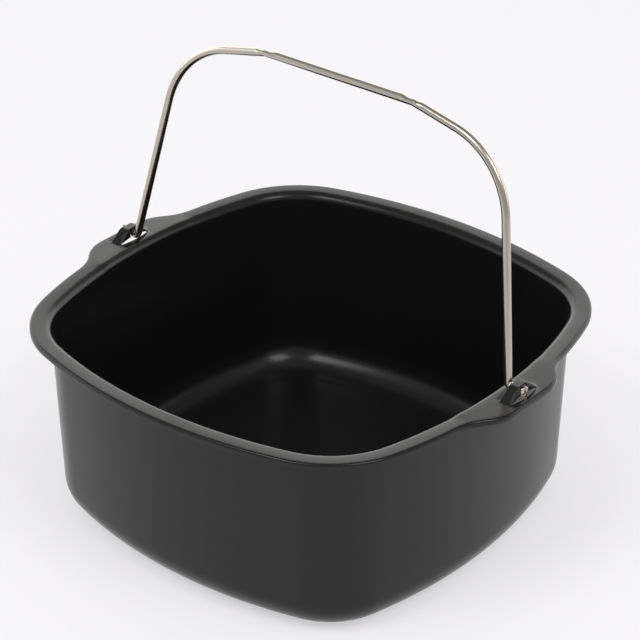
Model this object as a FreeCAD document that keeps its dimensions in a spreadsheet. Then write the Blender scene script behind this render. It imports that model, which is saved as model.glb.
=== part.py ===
import FreeCAD, Part
import math
import os
import Sketcher

# Air fryer cake pan, in millimetres, standing on z = 0 with its hinge line along X.
# Piece 1, pan_body: one pressed sheet with a flat rim, two ears and two raised bridges.
# Piece 2, bail_handle: one bent wire whose ends turn under the bridges.

os.makedirs("parts", exist_ok=True)
doc = FreeCAD.newDocument("cake_pan")

# Driving sizes
SIZES = [
    ("sheet_gauge", 0.8, "thickness of the pressed sheet"),
    ("pan_depth", 89.8, "height of the rim above the surface the pan stands on"),
    ("mouth_half", 95.6, "half the opening, measured at the middle of a side"),
    ("side_radius", 212.0, "radius of the slow bulge of each side"),
    ("corner_radius", 37.4, "radius of the opening's corners"),
    ("wall_lean", 2.6, "how much further in the wall stands at the foot than at the rim"),
    ("foot_radius", 15.5, "outside radius between wall and floor"),
    ("join_lap", 2.0, "how far neighbouring features of the one sheet run into each other"),
    ("rim_join", 4.4, "where the rim plate takes over from the wall section, out from the opening"),
    ("rim_radius", 3.4, "radius of the rounded inner edge of the rim"),
    ("rim_reach", 9.4, "rim width out from the opening"),
    ("ear_reach", 16.9, "ear width out from the opening"),
    ("ear_flat_half", 11.0, "half the straight front of an ear"),
    ("ear_round", 20.0, "convex radius at each end of an ear's front"),
    ("ear_hollow", 24.0, "concave radius where an ear runs back into the rim"),
    ("lip_depth", 2.8, "how far the outer edge is turned down"),
    ("lip_radius", 1.6, "outside radius of the turned-down edge"),
    ("cut_start", 5.8, "where the bridge's inner cut starts, out from the opening"),
    ("inner_cut", 1.3, "width of the bridge's inner cut at its middle"),
    ("outer_cut", 2.0, "width of the bridge's outer cut at its middle"),
    ("ear_web", 2.8, "metal left between the outer cut and the front of the ear"),
    ("slot_half", 9.0, "half the length of the two cuts"),
    ("bridge_land", 1.6, "how far each foot of the bridge runs on past the ends of the cuts"),
    ("bridge_room", 0.65, "room beside the wire under the flat top of the bridge"),
    ("bridge_round", 3.0, "outside radius at the shoulder of the bridge"),
    ("bridge_foot", 3.4, "radius where the bridge runs back into the rim"),
    ("wire_diameter", 3.5, "handle wire"),
    ("wire_play", 0.25, "gap between the wire and the rim under it, and the bridge over it"),
    ("bend_gap", 0.3, "gap between the bend at the foot of a leg and the bridge"),
    ("foot_bend", 2.2, "bend radius at the foot of each leg"),
    ("leg_lean", 10.2, "degrees each leg leans in"),
    ("shoulder_radius", 37.0, "bend radius of the shoulders"),
    ("shoulder_slope", 12.2, "degrees between the shoulder run and the top"),
    ("kink_radius", 5.0, "bend radius at each end of the top"),
    ("kink_half", 37.8, "half the straight top"),
    ("bail_height", 100.7, "top of the handle above its hinge line"),
    ("tip_gap", 0.5, "gap between the bridge and the flattened end of the wire"),
    ("tip_room", 0.3, "gap between the flattened end and the metal beyond the outer cut"),
    ("tip_width", 4.8, "width of the flattened end"),
    ("tip_gauge", 2.2, "thickness of the flattened end"),
    ("bail_tilt", 9.4, "degrees the handle leans back as it stands"),
    ("corner_at",
     "=(sqrt(2 * (side_radius - corner_radius)^2 - (side_radius - mouth_half)^2)"
     " - (side_radius - mouth_half)) / 2",
     "centre of each corner arc, out from both centre lines"),
    ("corner_far", "=corner_at * sqrt(2)", "the same centre, measured along the diagonal"),
    ("side_sweep", "=2 * atan(corner_at / (corner_at + side_radius - mouth_half))",
     "angle of one side arc"),
    ("corner_sweep", "=90 deg - side_sweep", "angle of one corner arc"),
    ("floor_reach", "=wall_lean + foot_radius - sheet_gauge",
     "how far in from the opening the flat floor starts"),
    ("slot_inner", "=mouth_half + cut_start", "inner cut, out from the centre line"),
    ("slot_outer", "=mouth_half + ear_reach - ear_web", "outer cut, out from the centre line"),
    ("bridge_inner", "=slot_inner + inner_cut", "inner edge of the bridge"),
    ("bridge_outer", "=slot_outer - outer_cut", "outer edge of the bridge"),
    ("inner_cut_round", "=(slot_half^2 + inner_cut^2) / (2 * inner_cut)",
     "radius of the inner cut's curved edge"),
    ("outer_cut_round", "=(slot_half^2 + outer_cut^2) / (2 * outer_cut)",
     "radius of the outer cut's curved edge"),
    ("bridge_rise", "=wire_diameter + 2 * wire_play + sheet_gauge", "bridge above the rim"),
    ("bridge_top_half", "=wire_diameter / 2 + bridge_room", "half the bridge's flat top"),
    ("bail_lift", "=pan_depth + wire_diameter / 2 + wire_play", "height of the hinge line"),
    ("bail_foot", "=bridge_inner - bend_gap", "where the straight hinge end stops"),
    ("tip_start", "=bridge_outer + tip_gap", "where the wire end is flattened"),
    ("tip_length", "=outer_cut - tip_gap - tip_room", "length of the flattened end"),
]

sheet = doc.addObject("Spreadsheet::Sheet", "Sizes")
for row, (alias, value, meaning) in enumerate(SIZES, start=1):
    sheet.set("A%d" % row, meaning)
    sheet.set("B%d" % row, str(value))
    sheet.setAlias("B%d" % row, alias)
doc.recompute()
size = {}
for alias, value, meaning in SIZES:
    found = sheet.get(alias)
    size[alias] = getattr(found, "Value", found)


# Small helpers
def evaluate(text):
    """The value of a sum such as 'side_radius + rim_reach', worked out from the sizes."""
    total = 0.0
    for sign, word in zip(["+"] + text.split()[1::2], text.split()[0::2]):
        amount = size[word]
        total = total + amount if sign == "+" else total - amount
    return total


def bound(text):
    """The same sum, written for the spreadsheet."""
    return " ".join("Sizes." + w if w not in "+-" else w for w in text.split())


def make_body(label):
    body = doc.addObject("PartDesign::Body", label)
    body.Label = label
    return body


def origin_plane(body, role):
    for feature in body.Origin.OriginFeatures:
        if feature.Role == role:
            return feature
    raise ValueError(role)


def make_sketch(body, name, role, lift=None):
    """A sketch on one of the body's own planes, moved along its normal by a size."""
    sketch = body.newObject("Sketcher::SketchObject", name)
    sketch.AttachmentSupport = [(origin_plane(body, role), "")]
    sketch.MapMode = "FlatFace"
    if lift is not None:
        sketch.setExpression("AttachmentOffset.Base.z", bound(lift))
    doc.recompute()
    return sketch


def vector(x, y):
    return FreeCAD.Vector(x, y, 0.0)


def add_line(sketch, start, end):
    return sketch.addGeometry(Part.LineSegment(vector(*start), vector(*end)), False)


def add_arc(sketch, centre, radius, first, last):
    circle = Part.Circle(vector(*centre), FreeCAD.Vector(0, 0, 1), radius)
    return sketch.addGeometry(Part.ArcOfCircle(circle, first, last), False)


def rule(sketch, *terms):
    return sketch.addConstraint(Sketcher.Constraint(*terms))


def measured(sketch, name, text, *terms):
    """A named dimension whose value comes from the sheet."""
    index = rule(sketch, *terms, evaluate(text))
    sketch.renameConstraint(index, name)
    sketch.setExpression("Constraints." + name, bound(text))


def turned(point, quarter):
    """A point turned by a number of quarter turns."""
    x, y = point
    for _ in range(quarter % 4):
        x, y = -y, x
    return (x, y)


# The plan outline
AXIS_X, AXIS_Y = -1, -2
START, END, CENTRE = 1, 2, 3


def outline(sketch, tag, reach, ears=False, inset=None):
    """Bulged square, every radius grown by the reach; with ears, each +-X side carries one.

    reach is a sum of sizes ('' for the opening itself); inset is taken off all round.
    """
    grow = "" if reach == "" else " + " + reach
    shrink = "" if inset is None else " - " + inset
    widen = "" if inset is None else " + " + inset
    side = evaluate("side_radius" + grow + shrink)
    corner = evaluate("corner_radius" + grow + shrink)
    back = size["side_radius"] - size["mouth_half"]
    reach_in = size["side_radius"] - size["corner_radius"]
    middle = (math.sqrt(2 * reach_in ** 2 - back ** 2) - back) / 2
    half_side = math.atan2(middle, middle + back)
    quarter_turn = math.pi / 2
    pieces = []

    def side_arc(quarter, first, last, name):
        centre = turned((-back, 0.0), quarter)
        turn = quarter * quarter_turn
        arc = add_arc(sketch, centre, side, first + turn, last + turn)
        axis = AXIS_X if quarter % 2 == 0 else AXIS_Y
        rule(sketch, "PointOnObject", arc, CENTRE, axis)
        measured(sketch, tag + name + "_radius", "side_radius" + grow + shrink, "Radius", arc)
        measured(sketch, tag + name + "_centre", "side_radius - mouth_half",
                 "Distance", arc, CENTRE, AXIS_X, START)
        pieces.append((arc, START, END))

    def corner_arc(quarter):
        centre = turned((middle, middle), quarter)
        turn = quarter * quarter_turn
        arc = add_arc(sketch, centre, corner, half_side + turn, quarter_turn - half_side + turn)
        measured(sketch, "%scorner%d" % (tag, quarter), "corner_radius" + grow + shrink,
                 "Radius", arc)
        pieces.append((arc, START, END))

    def ear_side(quarter):
        """Side arc, hollow, round, straight front, round, hollow, side arc."""
        front = evaluate("mouth_half + ear_reach" + shrink)
        flat = size["ear_flat_half"]
        convex = evaluate("ear_round" + shrink)
        hollow = evaluate("ear_hollow" + widen)
        round_at = (front - convex, flat)
        gap = math.hypot(round_at[0] + back, round_at[1])
        to_hollow = side + hollow
        to_round = convex + hollow
        along = (gap ** 2 + to_hollow ** 2 - to_round ** 2) / (2 * gap)
        across = math.sqrt(to_hollow ** 2 - along ** 2)
        ux = (round_at[0] + back) / gap
        uy = round_at[1] / gap
        hollow_at = (-back + ux * along - uy * across, uy * along + ux * across)
        meet = math.atan2(hollow_at[1], hollow_at[0] + back)
        lean = math.atan2(hollow_at[1] - round_at[1], hollow_at[0] - round_at[0])
        turn = quarter * quarter_turn
        name = "%sear%d" % (tag, quarter)

        side_arc(quarter, -half_side, -meet, "low%d" % quarter)
        low_hollow = add_arc(sketch, turned((hollow_at[0], -hollow_at[1]), quarter), hollow,
                             math.pi - lean + turn, math.pi - meet + turn)
        pieces.append((low_hollow, END, START))
        low_round = add_arc(sketch, turned((round_at[0], -round_at[1]), quarter), convex,
                            -lean + turn, turn)
        pieces.append((low_round, START, END))
        line = add_line(sketch, turned((front, -flat), quarter), turned((front, flat), quarter))
        pieces.append((line, START, END))
        high_round = add_arc(sketch, turned(round_at, quarter), convex, turn, lean + turn)
        pieces.append((high_round, START, END))
        high_hollow = add_arc(sketch, turned(hollow_at, quarter), hollow,
                              math.pi + meet + turn, math.pi + lean + turn)
        pieces.append((high_hollow, END, START))
        side_arc(quarter, meet, half_side, "high%d" % quarter)

        rule(sketch, "Symmetric", line, START, line, END, AXIS_X)
        measured(sketch, name + "_front", "mouth_half + ear_reach" + shrink,
                 "Distance", AXIS_X, START, line)
        measured(sketch, name + "_flat", "ear_flat_half + ear_flat_half",
                 "Distance", line)
        measured(sketch, name + "_round_a", "ear_round" + shrink, "Radius", low_round)
        measured(sketch, name + "_round_b", "ear_round" + shrink, "Radius", high_round)
        measured(sketch, name + "_hollow_a", "ear_hollow" + widen, "Radius", low_hollow)
        measured(sketch, name + "_hollow_b", "ear_hollow" + widen, "Radius", high_hollow)

    for quarter in range(4):
        if ears and quarter % 2 == 0:
            ear_side(quarter)
        else:
            side_arc(quarter, -half_side, half_side, "side%d" % quarter)
        corner_arc(quarter)
    for here, after in zip(pieces, pieces[1:] + pieces[:1]):
        rule(sketch, "Tangent", here[0], here[2], after[0], after[1])


def fillet(body, base, name, radius, edges):
    feature = body.newObject("PartDesign::Fillet", name)
    feature.Base = (base, edges)
    feature.setExpression("Radius", bound(radius))
    doc.recompute()
    return feature


NEAR = 0.01


def outer_edges(shape, height):
    """Names of the outermost edges of the flat face at a height."""
    best = None
    for face in shape.Faces:
        box = face.BoundBox
        if abs(box.ZMin - height) < NEAR and abs(box.ZMax - height) < NEAR:
            if best is None or box.XLength > best.BoundBox.XLength:
                best = face
    rim = best.OuterWire.Edges
    names = []
    for number, edge in enumerate(shape.Edges, start=1):
        if any(edge.isSame(other) for other in rim):
            names.append("Edge%d" % number)
    return names


def section(sketch, tag, opening, axis_terms, axis_sum):
    """The sheet cut through once: floor, foot radius, wall, rim radius, flat rim.

    opening is a sum giving the opening's distance from the body's centre line in this cut.
    """
    gauge = size["sheet_gauge"]
    height = size["pan_depth"]
    mouth = evaluate(opening)
    length = math.hypot(height, size["wall_lean"])
    nx = height / length
    nz = -size["wall_lean"] / length
    foot = size["foot_radius"]
    rim = size["rim_radius"]
    foot_x = mouth + (gauge - foot - (foot - height) * nz) / nx
    rim_x = mouth + (rim + rim * nz) / nx
    inner_x = mouth - size["floor_reach"] - size["join_lap"]
    outer_x = mouth + size["rim_join"] + size["join_lap"]
    toward = math.atan2(nz, nx)

    def off_foot(radius):
        return (foot_x + radius * nx, foot + radius * nz)

    def off_rim(radius):
        return (rim_x - radius * nx, height - rim - radius * nz)

    axis_x = evaluate(axis_sum) * axis_terms[0]
    spin = sketch.addGeometry(
        Part.LineSegment(vector(axis_x, 0.0), vector(axis_x, height)), True)
    floor_low = add_line(sketch, (inner_x, 0.0), (foot_x, 0.0))
    foot_out = add_arc(sketch, (foot_x, foot), foot, -math.pi / 2, toward)
    wall_out = add_line(sketch, off_foot(foot), off_rim(rim - gauge))
    rim_low = add_arc(sketch, (rim_x, height - rim), rim - gauge, math.pi / 2,
                      math.pi + toward)
    under = add_line(sketch, (rim_x, height - gauge), (outer_x, height - gauge))
    end = add_line(sketch, (outer_x, height - gauge), (outer_x, height))
    top = add_line(sketch, (outer_x, height), (rim_x, height))
    rim_high = add_arc(sketch, (rim_x, height - rim), rim, math.pi / 2, math.pi + toward)
    wall_in = add_line(sketch, off_rim(rim), off_foot(foot - gauge))
    foot_in = add_arc(sketch, (foot_x, foot), foot - gauge, -math.pi / 2, toward)
    floor_high = add_line(sketch, (foot_x, gauge), (inner_x, gauge))
    back = add_line(sketch, (inner_x, gauge), (inner_x, 0.0))
    at_rim = sketch.addGeometry(Part.Point(vector(mouth, height)), True)
    at_foot = sketch.addGeometry(Part.Point(vector(mouth - size["wall_lean"], 0.0)), True)

    rule(sketch, "Tangent", floor_low, END, foot_out, START)
    rule(sketch, "Tangent", foot_out, END, wall_out, START)
    rule(sketch, "Tangent", wall_out, END, rim_low, END)
    rule(sketch, "Tangent", rim_low, START, under, START)
    rule(sketch, "Coincident", under, END, end, START)
    rule(sketch, "Coincident", end, END, top, START)
    rule(sketch, "Tangent", top, END, rim_high, START)
    rule(sketch, "Tangent", rim_high, END, wall_in, START)
    rule(sketch, "Tangent", wall_in, END, foot_in, END)
    rule(sketch, "Tangent", foot_in, START, floor_high, START)
    rule(sketch, "Coincident", floor_high, END, back, START)
    rule(sketch, "Coincident", back, END, floor_low, START)
    rule(sketch, "PointOnObject", floor_low, START, AXIS_X)
    for flat in (floor_low, under, top, floor_high):
        rule(sketch, "Horizontal", flat)
    rule(sketch, "Vertical", end)
    rule(sketch, "Vertical", back)
    rule(sketch, "Vertical", spin)
    rule(sketch, "PointOnObject", spin, START, AXIS_X)
    measured(sketch, tag + "_spin_height", "pan_depth", "DistanceY", spin, START, spin, END)
    if axis_terms[0] < 0:
        measured(sketch, tag + "_spin", axis_sum, "DistanceX", spin, START, AXIS_X, START)
    else:
        measured(sketch, tag + "_spin", axis_sum, "DistanceX", AXIS_X, START, spin, START)
    measured(sketch, tag + "_foot_out", "foot_radius", "Radius", foot_out)
    measured(sketch, tag + "_foot_in", "foot_radius - sheet_gauge", "Radius", foot_in)
    measured(sketch, tag + "_rim_high", "rim_radius", "Radius", rim_high)
    measured(sketch, tag + "_rim_low", "rim_radius - sheet_gauge", "Radius", rim_low)
    measured(sketch, tag + "_height", "pan_depth", "DistanceY", AXIS_X, START, top, START)
    measured(sketch, tag + "_under", "pan_depth - sheet_gauge",
             "DistanceY", AXIS_X, START, under, END)
    measured(sketch, tag + "_floor", "sheet_gauge", "DistanceY", AXIS_X, START, back, START)
    rule(sketch, "PointOnObject", at_rim, START, wall_in)
    rule(sketch, "PointOnObject", at_rim, START, top)
    measured(sketch, tag + "_mouth", opening, "DistanceX", AXIS_X, START, at_rim, START)
    rule(sketch, "PointOnObject", at_foot, START, wall_in)
    rule(sketch, "PointOnObject", at_foot, START, AXIS_X)
    measured(sketch, tag + "_lean", "wall_lean", "DistanceX", at_foot, START, at_rim, START)
    rule(sketch, "Parallel", wall_out, wall_in)
    measured(sketch, tag + "_gauge", "sheet_gauge", "Distance", wall_in, END, wall_out)
    measured(sketch, tag + "_outer", "rim_join + join_lap",
             "DistanceX", at_rim, START, end, START)
    measured(sketch, tag + "_inner", "floor_reach + join_lap",
             "DistanceX", back, START, at_rim, START)


def revolve(body, name, sketch, angle):
    feature = body.newObject("PartDesign::Revolution", name)
    feature.Profile = sketch
    feature.ReferenceAxis = (sketch, ["Axis0"])
    feature.Midplane = True
    feature.setExpression("Angle", bound(angle))
    doc.recompute()
    return feature


def extrude(body, kind, name, sketch, length, reverse=False):
    feature = body.newObject("PartDesign::" + kind, name)
    feature.Profile = sketch
    feature.Reversed = reverse
    feature.setExpression("Length", bound(length))
    doc.recompute()
    return feature


def mirror(body, name, features):
    feature = body.newObject("PartDesign::Mirrored", name)
    feature.Originals = features
    feature.MirrorPlane = (origin_plane(body, "YZ_Plane"), [""])
    body.Tip = feature
    doc.recompute()
    return feature


# Piece 1: the pan
pan = make_body("pan_body")

side_cut = make_sketch(pan, "SideSection", "XZ_Plane")
section(side_cut, "s", "mouth_half", (-1,), "side_radius - mouth_half")
side_wall = revolve(pan, "SideWall", side_cut, "side_sweep")

corner_cut = make_sketch(pan, "CornerSection", "XZ_Plane")
corner_cut.AttachmentOffset = FreeCAD.Placement(
    FreeCAD.Vector(0, 0, 0), FreeCAD.Rotation(FreeCAD.Vector(0, 1, 0), 45))
section(corner_cut, "c", "corner_far + corner_radius", (1,), "corner_far")
corner_wall = revolve(pan, "CornerWall", corner_cut, "corner_sweep")

ring = pan.newObject("PartDesign::PolarPattern", "FourWalls")
ring.Originals = [side_wall, corner_wall]
ring.Axis = (origin_plane(pan, "Z_Axis"), [""])
ring.Angle = 360
ring.Occurrences = 4
pan.Tip = ring
doc.recompute()

floor_sketch = make_sketch(pan, "FloorOutline", "XY_Plane")
outline(floor_sketch, "f", "", inset="floor_reach")
floor = extrude(pan, "Pad", "Floor", floor_sketch, "sheet_gauge")

rim_sketch = make_sketch(pan, "RimOutline", "XY_Plane", "pan_depth")
outline(rim_sketch, "o", "rim_reach", ears=True)
outline(rim_sketch, "i", "rim_join")
rim = extrude(pan, "Pad", "RimPlate", rim_sketch, "sheet_gauge", reverse=True)

lip_sketch = make_sketch(pan, "LipOutline", "XY_Plane", "pan_depth")
outline(lip_sketch, "a", "rim_reach", ears=True)
outline(lip_sketch, "b", "rim_reach", ears=True, inset="sheet_gauge")
lip = extrude(pan, "Pad", "Lip", lip_sketch, "lip_depth", reverse=True)

fillet(pan, lip, "LipRound", "lip_radius", outer_edges(lip.Shape, size["pan_depth"]))


# The strap in an ear is free between two cuts, which are widest in the middle, and is pushed
# up there into a bridge.
def cut_outline(sketch, tag):
    """The metal that the strap leaves: bowed along both cuts and straight across its feet."""
    near = size["bridge_inner"]
    far = size["bridge_outer"]
    up = size["slot_half"]

    def bow(side, edge, radius):
        """The curved edge of one cut, away from the strap: side -1 is the inner one."""
        spread = math.asin(up / radius)
        middle = 0.0 if side > 0 else math.pi
        centre = edge - side * radius * math.cos(spread)
        return add_arc(sketch, (centre, 0.0), radius, middle - spread, middle + spread)

    outer = bow(1, far, size["outer_cut_round"])
    high = add_line(sketch, (far, up), (near, up))
    inner = bow(-1, near, size["inner_cut_round"])
    low = add_line(sketch, (near, -up), (far, -up))
    for here, after in ((outer, high), (high, inner), (inner, low), (low, outer)):
        rule(sketch, "Coincident", here, END, after, START)
    rule(sketch, "Symmetric", outer, START, outer, END, AXIS_X)
    rule(sketch, "Symmetric", inner, START, inner, END, AXIS_X)
    measured(sketch, tag + "_inner_round", "inner_cut_round", "Radius", inner)
    measured(sketch, tag + "_outer_round", "outer_cut_round", "Radius", outer)
    measured(sketch, tag + "_near", "bridge_inner", "DistanceX", AXIS_X, START, high, END)
    measured(sketch, tag + "_far", "bridge_outer", "DistanceX", AXIS_X, START, high, START)
    measured(sketch, tag + "_half", "slot_half", "DistanceY", AXIS_X, START, high, END)


def bridge_chain(sketch, tag, drop, grow, shrink):
    """Foot, ramp, flat top, ramp, foot; the underside is the same chain one gauge lower."""
    floor_z = evaluate("pan_depth" + drop)
    top_z = evaluate("pan_depth + bridge_rise" + drop)
    shoulder = evaluate("bridge_round" + shrink)
    hollow = evaluate("bridge_foot" + grow)
    flat = size["bridge_top_half"]
    reach = evaluate("slot_half + bridge_land")
    lap = evaluate("slot_half + bridge_land + join_lap")
    span_x = reach - flat
    span_z = floor_z + hollow - (top_z - shoulder)
    span = math.hypot(span_x, span_z)
    tilt = math.atan2(span_z, span_x) + math.acos((shoulder + hollow) / span)
    top = add_line(sketch, (-flat, top_z), (flat, top_z))
    rule(sketch, "Symmetric", top, START, top, END, AXIS_Y)
    measured(sketch, tag + "_top", "pan_depth + bridge_rise" + drop,
             "DistanceY", AXIS_X, START, top, START)
    measured(sketch, tag + "_flat", "bridge_top_half + bridge_top_half", "Distance", top)
    feet = []
    for side, word in ((-1, "left"), (1, "right")):
        name = tag + "_" + word
        away = (side * flat, top_z - shoulder)
        near = (side * reach, floor_z + hollow)
        up_x = math.cos(tilt) * side
        up_z = math.sin(tilt)
        if side > 0:
            shoulder_arc = add_arc(sketch, away, shoulder, tilt, math.pi / 2)
            foot_arc = add_arc(sketch, near, hollow, math.pi + tilt, 1.5 * math.pi)
        else:
            shoulder_arc = add_arc(sketch, away, shoulder, math.pi / 2, math.pi - tilt)
            foot_arc = add_arc(sketch, near, hollow, -math.pi / 2, -tilt)
        ramp = add_line(sketch, (away[0] + shoulder * up_x, away[1] + shoulder * up_z),
                        (near[0] - hollow * up_x, near[1] - hollow * up_z))
        foot_line = add_line(sketch, (near[0], floor_z), (side * lap, floor_z))
        outer_end = START if side > 0 else END
        inner_end = END if side > 0 else START
        rule(sketch, "Tangent", top, inner_end, shoulder_arc, inner_end)
        rule(sketch, "Tangent", shoulder_arc, outer_end, ramp, START)
        rule(sketch, "Tangent", ramp, END, foot_arc, outer_end)
        rule(sketch, "Tangent", foot_arc, inner_end, foot_line, START)
        rule(sketch, "Horizontal", foot_line)
        measured(sketch, name + "_round", "bridge_round" + shrink, "Radius", shoulder_arc)
        measured(sketch, name + "_hollow", "bridge_foot" + grow, "Radius", foot_arc)
        measured(sketch, name + "_level", "pan_depth" + drop,
                 "DistanceY", AXIS_X, START, foot_line, START)
        first, last = (AXIS_X, foot_arc) if side > 0 else (foot_arc, AXIS_X)
        ends = (START, CENTRE) if side > 0 else (CENTRE, START)
        measured(sketch, name + "_reach", "slot_half + bridge_land",
                 "DistanceX", first, ends[0], last, ends[1])
        first, last = (AXIS_X, foot_line) if side > 0 else (foot_line, AXIS_X)
        ends = (START, END) if side > 0 else (END, START)
        measured(sketch, name + "_lap", "slot_half + bridge_land + join_lap",
                 "DistanceX", first, ends[0], last, ends[1])
        feet.append((foot_line, (side * lap, floor_z)))
    return feet


slot_sketch = make_sketch(pan, "SlotOutline", "XY_Plane", "pan_depth")
cut_outline(slot_sketch, "w")
slots = extrude(pan, "Pocket", "BridgeCuts", slot_sketch, "lip_depth")

bridge_sketch = make_sketch(pan, "BridgeSection", "YZ_Plane", "bridge_inner")
over = bridge_chain(bridge_sketch, "over", "", "", "")
below = bridge_chain(bridge_sketch, "below", " - sheet_gauge", " + sheet_gauge",
                     " - sheet_gauge")
for high, low in zip(over, below):
    closer = add_line(bridge_sketch, high[1], low[1])
    rule(bridge_sketch, "Coincident", closer, START, high[0], END)
    rule(bridge_sketch, "Coincident", closer, END, low[0], END)
bridge = extrude(pan, "Pad", "Bridge", bridge_sketch, "bridge_outer - bridge_inner")
mirror(pan, "OtherEar", [slots, bridge])

# Piece 2: the handle
# Drawn upright with its hinge line through the body's origin, then stood on the rim.
bail = make_body("bail_handle")

path = make_sketch(bail, "WirePath", "XZ_Plane")
lean = math.radians(size["leg_lean"])
slope = math.radians(size["shoulder_slope"])
bend = size["foot_bend"]
shoulder = size["shoulder_radius"]
kink = size["kink_radius"]
bend_at = (size["bail_foot"], bend)
leg_low = (bend_at[0] - bend * math.cos(lean), bend_at[1] - bend * math.sin(lean))
kink_at = (size["kink_half"], size["bail_height"] - kink)
slope_high = (kink_at[0] + kink * math.sin(slope), kink_at[1] + kink * math.cos(slope))
gap_x = slope_high[0] - leg_low[0]
gap_z = slope_high[1] - leg_low[1]
twist = math.cos(lean) * math.cos(slope) - math.sin(lean) * math.sin(slope)
leg_run = (gap_x * math.sin(slope) + gap_z * math.cos(slope)) / twist
corner = (leg_low[0] - leg_run * math.sin(lean), leg_low[1] + leg_run * math.cos(lean))
trim = shoulder * math.tan((math.pi / 2 - lean - slope) / 2)
leg_high = (corner[0] + trim * math.sin(lean), corner[1] - trim * math.cos(lean))
slope_low = (corner[0] - trim * math.cos(slope), corner[1] + trim * math.sin(slope))
shoulder_at = (leg_high[0] - shoulder * math.cos(lean), leg_high[1] - shoulder * math.sin(lean))

hinge_run = add_line(path, (size["tip_start"], 0.0), (size["bail_foot"], 0.0))
foot_arc = add_arc(path, bend_at, bend, math.pi + lean, 1.5 * math.pi)
leg = add_line(path, leg_low, leg_high)
shoulder_arc = add_arc(path, shoulder_at, shoulder, lean, math.pi / 2 - slope)
slope_run = add_line(path, slope_low, slope_high)
kink_arc = add_arc(path, kink_at, kink, math.pi / 2 - slope, math.pi / 2)
top_run = add_line(path, (size["kink_half"], size["bail_height"]), (0.0, size["bail_height"]))
rule(path, "Tangent", hinge_run, END, foot_arc, END)
rule(path, "Tangent", foot_arc, START, leg, START)
rule(path, "Tangent", leg, END, shoulder_arc, START)
rule(path, "Tangent", shoulder_arc, END, slope_run, START)
rule(path, "Tangent", slope_run, END, kink_arc, START)
rule(path, "Tangent", kink_arc, END, top_run, START)
rule(path, "PointOnObject", hinge_run, START, AXIS_X)
rule(path, "PointOnObject", hinge_run, END, AXIS_X)
rule(path, "PointOnObject", top_run, END, AXIS_Y)
rule(path, "Horizontal", top_run)
measured(path, "tip", "tip_start", "DistanceX", AXIS_X, START, hinge_run, START)
measured(path, "foot", "bail_foot", "DistanceX", AXIS_X, START, hinge_run, END)
measured(path, "top", "bail_height", "DistanceY", AXIS_X, START, top_run, END)
measured(path, "kink", "kink_half", "DistanceX", AXIS_X, START, top_run, START)
measured(path, "foot_round", "foot_bend", "Radius", foot_arc)
measured(path, "shoulder_round", "shoulder_radius", "Radius", shoulder_arc)
measured(path, "kink_round", "kink_radius", "Radius", kink_arc)


def angle_of(sketch, name, line, start_angle, text):
    """Direction of a line, in degrees from the sketch's own X axis."""
    index = rule(sketch, "Angle", line, start_angle)
    sketch.renameConstraint(index, name)
    sketch.setExpression("Constraints." + name, text)


angle_of(path, "leg_angle", leg, math.pi / 2 + lean, "1 deg * (90 + Sizes.leg_lean)")
angle_of(path, "slope_angle", slope_run, math.pi - slope,
         "1 deg * (180 - Sizes.shoulder_slope)")

ring_sketch = make_sketch(bail, "WireSection", "YZ_Plane", "tip_start")
circle = ring_sketch.addGeometry(
    Part.Circle(vector(0, 0), FreeCAD.Vector(0, 0, 1), size["wire_diameter"] / 2), False)
rule(ring_sketch, "Coincident", circle, CENTRE, AXIS_X, START)
measured(ring_sketch, "diameter", "wire_diameter", "Diameter", circle)

wire = bail.newObject("PartDesign::AdditivePipe", "Wire")
wire.Profile = ring_sketch
wire.Spine = (path, ["Edge%d" % number for number in range(1, len(path.Shape.Edges) + 1)])
doc.recompute()

tip_sketch = make_sketch(bail, "TipSection", "YZ_Plane", "tip_start")
half_gauge = size["tip_gauge"] / 2
half_flat = (size["tip_width"] - size["tip_gauge"]) / 2
right = add_line(tip_sketch, (half_gauge, -half_flat), (half_gauge, half_flat))
high = add_arc(tip_sketch, (0.0, half_flat), half_gauge, 0.0, math.pi)
left = add_line(tip_sketch, (-half_gauge, half_flat), (-half_gauge, -half_flat))
low = add_arc(tip_sketch, (0.0, -half_flat), half_gauge, math.pi, 2 * math.pi)
rule(tip_sketch, "Tangent", right, END, high, START)
rule(tip_sketch, "Tangent", high, END, left, START)
rule(tip_sketch, "Tangent", left, END, low, START)
rule(tip_sketch, "Tangent", low, END, right, START)
rule(tip_sketch, "Symmetric", high, CENTRE, low, CENTRE, AXIS_X, START)
rule(tip_sketch, "PointOnObject", high, CENTRE, AXIS_Y)
rule(tip_sketch, "Equal", high, low)
index = rule(tip_sketch, "Radius", high, half_gauge)
tip_sketch.renameConstraint(index, "gauge")
tip_sketch.setExpression("Constraints.gauge", "Sizes.tip_gauge / 2")
measured(tip_sketch, "flat", "tip_width - tip_gauge", "Distance", right)
tip = extrude(bail, "Pad", "FlattenedEnd", tip_sketch, "tip_length")
mirror(bail, "OtherHalf", [wire, tip])

bail.Placement = FreeCAD.Placement(
    FreeCAD.Vector(0, 0, size["bail_lift"]),
    FreeCAD.Rotation(FreeCAD.Vector(-1, 0, 0), size["bail_tilt"]))
bail.setExpression("Placement.Base.z", "Sizes.bail_lift")
bail.setExpression("Placement.Rotation.Angle", "1 deg * Sizes.bail_tilt")

# Check and save
doc.recompute()
for item in doc.Objects:
    if "Invalid" in item.State or "Error" in item.State:
        raise RuntimeError(item.Name + " did not recompute")
    if item.TypeId == "Sketcher::SketchObject" and item.solve() != 0:
        raise RuntimeError(item.Name + " is not fully solved")
for body in (pan, bail):
    shape = body.Shape
    if not shape.isValid() or len(shape.Solids) != 1:
        raise RuntimeError(body.Label + " is not one sound solid")
    shape.exportStep("parts/" + body.Label + ".step")
    print(body.Label, round(shape.Volume, 1), "mm3,", len(shape.Faces), "faces")
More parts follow.
